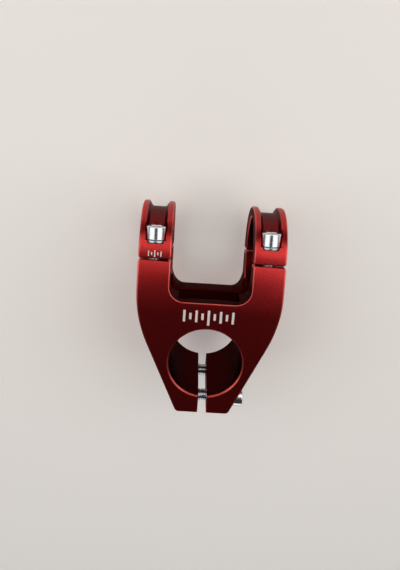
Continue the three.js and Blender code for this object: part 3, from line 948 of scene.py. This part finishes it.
# Its broken edges and chamfers, painted paler as a painted highlight.
edge_highlight_finish = blasted_finish("red_anodised_edges_painted_highlight", unmarked, "#E05A50", "#D44840", "#B83430", 0.65)
paint(body, [body_finish, edge_highlight_finish, painted_shade_inside_finish], number_faces(body))
for side, x in (("left", ARM_MIDDLE), ("right", -ARM_MIDDLE)):
    numbers = number_faces(caps[side], x)
    paint(caps[side], [cap_finish, edge_highlight_finish, painted_shade_inside_finish, painted_shade_channel_finish], numbers)
    print(f"{side} cap's faces, blasted, edges, inside, channel:", np.bincount(numbers, minlength=4))

# %% [markdown]
# ## Polished steel screws and plated washers
#
# The screws are stainless steel, tumbled and polished after heading, so they mirror their
# surroundings, with faint lines round the axis from turning. The washers are punched from strip
# and zinc plated: paler, a little bluish and duller, with tiny pores.


# %% Fastener finishes
def turned_metal(name, colour, stain, roughness, line, relief_depth):
    """Bright metal with fine lines round its axis: noise read at (along, radius) only, so that it
    does not change with the angle."""
    material, tree, shader = new_material(name)
    turned_at = add(tree, "ShaderNodeAttribute", attribute_name="turned").outputs["Vector"]
    lines = noise(tree, turned_at, line, 2.0)
    haze = noise(tree, in_millimetres(tree), 1.2, 4.0)
    rough = maths(tree, "MULTIPLY_ADD", haze, 0.12, roughness - 0.06)
    heights = {"Height": lines, "Strength": 0.5, "Distance": relief_depth * MM}
    join(tree, shader, Base_Color=blend(tree, haze, linear(colour), linear(stain), "RGBA"),
         Roughness=maths(tree, "MULTIPLY_ADD", lines, 0.06, rough),
         Normal=add(tree, "ShaderNodeBump", heights).outputs[0])
    shader.inputs["Metallic"].default_value = 1.0
    return material


# Stainless steel, headed and rolled, then tumbled bright; mild steel, punched, then zinc plated.
finishes = {
    "polished_screws": turned_metal("polished_stainless_steel", "#EEF2F8", "#DCE1E8", 0.2, 0.16, 0.004),
    "plated_washers": turned_metal("zinc_plated_steel", "#C9CDD2", "#AEB3BA", 0.26, 0.3, 0.01),
}
for piece, _, _, slot in fasteners:
    paint(piece, [finishes[slot]])
print("finished:", len(fasteners), "fasteners")

# %% [markdown]
# ## Floor, light and camera
#
# The stem lies over a plain pale floor of translucent paper, lit a little from below so that it
# stays pale in a dark room. One wide soft light hangs ahead and high up: the flat upper face mirrors
# the dark room behind, while the ears, which lean forward, mirror the light. Two more at the sides
# draw the bright streaks along the screws' heads, and a low strip fills the rear. The room itself
# is pale at the horizon and fades to dark overhead.

# %% Floor
low, high = (np.array(corner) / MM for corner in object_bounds())
SPAN = 3000.0
THICK = 10.0
square = np.array([(-SPAN, -SPAN), (SPAN, -SPAN), (SPAN, SPAN), (-SPAN, SPAN)])
floor = loft("floor", upright(square, [low[2] - THICK, low[2]]))
floor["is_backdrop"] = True
paper, tree, shader = new_material("pale_paper_sweep")
fibre = noise(tree, in_millimetres(tree), 2.5, 4.0)
join(tree, shader, Base_Color=blend(tree, fibre, linear("#EDEAE6"), linear("#F3F1EE"), "RGBA"))
shader.inputs["Roughness"].default_value = 0.85
shader.inputs["Emission Color"].default_value = linear("#F0EDE9")
shader.inputs["Emission Strength"].default_value = 0.24
floor.data.materials.append(paper)
print(f"floor at {low[2]:.1f} mm")


# %% Lights
def seen_from(azimuth, elevation):
    """The direction towards an azimuth round from the front and an elevation above the floor."""
    turn, rise = math.radians(azimuth), math.radians(elevation)
    return Vector((math.sin(turn) * math.cos(rise), -math.cos(turn) * math.cos(rise), math.sin(rise)))


def soft_light(name, azimuth, elevation, distance, width, height, watts, colour="#FFFFFF"):
    """A rectangular light that faces the middle of the stem. Distance and size are in metres."""
    middle = Vector(((low + high) / 2 * MM).tolist())
    back = seen_from(azimuth, elevation)
    lamp = bpy.data.lights.new(name, "AREA")
    lamp.shape = "RECTANGLE"
    lamp.size, lamp.size_y = width, height
    lamp.energy = watts
    lamp.color = linear(colour)[:3]
    holder = bpy.data.objects.new(name, lamp)
    holder.location = middle + back * distance
    holder.rotation_mode = "QUATERNION"
    holder.rotation_quaternion = (-back).to_track_quat("-Z", "Y")
    holder.visible_camera = False
    bpy.context.scene.collection.objects.link(holder)
    print(f"{name}: {watts} W, {azimuth} degrees round and {elevation} up")


soft_light("front_softbox", 0, 53, 0.6, 0.7, 0.36, 1.07, "#FFF0E2")
soft_light("left_softbox", 76, 44, 0.6, 0.5, 0.6, 1.2)
soft_light("right_softbox", -72, 46, 0.6, 0.5, 0.6, 1.25)
soft_light("rear_strip", 180, 12, 0.8, 0.7, 0.2, 0.7)

room = bpy.data.worlds.new("studio_room")
room.use_nodes = True
tree = room.node_tree
sky = tree.nodes["Background"]
place = add(tree, "ShaderNodeTexCoord").outputs["Object"]
level = add(tree, "ShaderNodeSeparateXYZ", {0: place}).outputs["Z"]
near_floor = maths(tree, "MAXIMUM", maths(tree, "MULTIPLY_ADD", level, -2.4, 1.0), 0.0)
glow = maths(tree, "MULTIPLY", near_floor, near_floor)
join(tree, sky, Strength=maths(tree, "MULTIPLY_ADD", glow, 0.45, 0.022))
sky.inputs["Color"].default_value = linear("#F2F0EC")
bpy.context.scene.world = room
bpy.context.scene.view_settings.view_transform = "Standard"

# %% Camera
AZIMUTH = 3.93
ELEVATION = 69.05
ROLL = 179.82
DISTANCE = 280.0
LENS = 44.53
AIM = Vector((3.61, -25.36, 20.0)) * MM
lens = bpy.data.cameras.new("camera")
lens.lens = LENS
lens.sensor_width = 36.0
lens.clip_start = 0.01
camera = bpy.data.objects.new("camera", lens)
back = seen_from(AZIMUTH, ELEVATION)
facing = (-back).to_track_quat("-Z", "Y")
camera.location = AIM + back * DISTANCE * MM
camera.rotation_mode = "QUATERNION"
camera.rotation_quaternion = facing @ Quaternion((0, 0, 1), math.radians(ROLL))
bpy.context.scene.collection.objects.link(camera)
bpy.context.scene.camera = camera
print(f"camera {DISTANCE:.0f} mm off, {AZIMUTH} degrees round and {ELEVATION} up")
